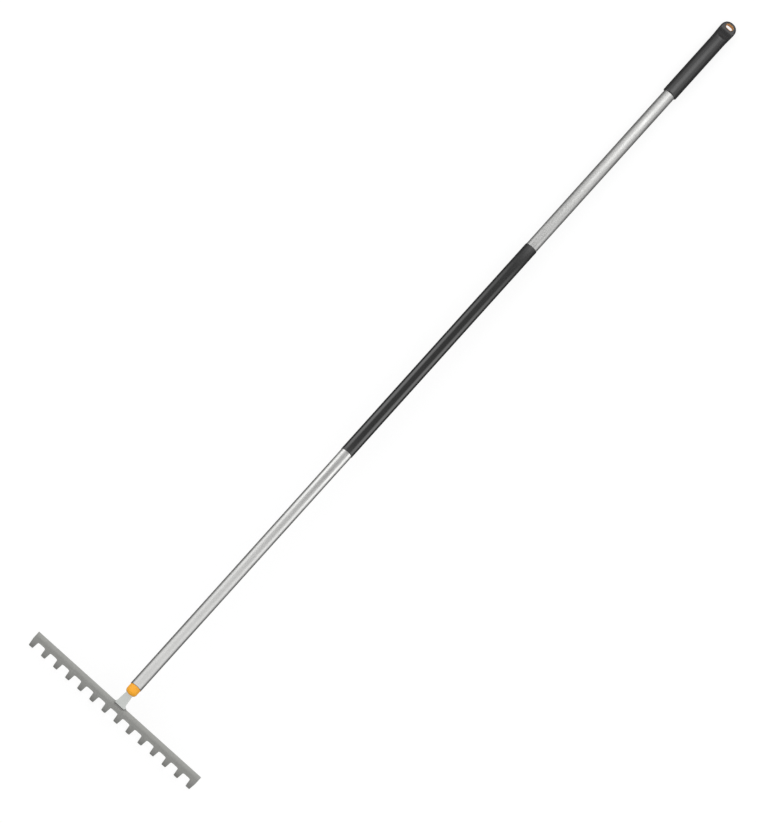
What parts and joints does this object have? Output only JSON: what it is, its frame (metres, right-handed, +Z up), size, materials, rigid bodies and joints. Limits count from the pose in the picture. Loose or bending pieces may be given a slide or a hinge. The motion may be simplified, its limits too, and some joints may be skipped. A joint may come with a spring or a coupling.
{
  "type": "garden rake",
  "caption": "Level-head garden rake: pressed steel tined head on a flat tang, straight aluminium shaft with a dark mid sleeve, and an end grip with a hanging eye.",
  "frame": {"origin": "on the ground, below the middle of the tool's box, as it lies on its tine tips and grip", "axes": "+Y along the shaft from the head to the grip, +X along the head, +Z up from the ground"},
  "size_m": [0.3626, 1.5938, 0.0822],
  "materials": {
    "painted_steel": "grey powder paint, matt",
    "tang_steel": "light silver steel, satin",
    "weld_metal": "weld bead under thin grey paint",
    "orange_plastic": "moulded orange, satin",
    "grey_plastic": "moulded grey, matt",
    "rivet_metal": "plain aluminium",
    "aluminium": "drawn and clear anodised, fine lengthwise grain",
    "black_sleeve": "thin black shrunk sleeve, satin",
    "black_rubber": "soft moulded black, matt"
  },
  "bodies": {
    "root": {"rake_head": "painted_steel", "neck_tang": "tang_steel", "front_weld": "weld_metal", "rear_weld": "weld_metal", "collar": "orange_plastic", "tang_bushing": "grey_plastic", "tang_rivet": "rivet_metal", "shaft_tube": "aluminium", "shaft_sleeve": "black_sleeve", "grip_core": "orange_plastic", "end_grip": "black_rubber"}
  },
  "joints": []
}
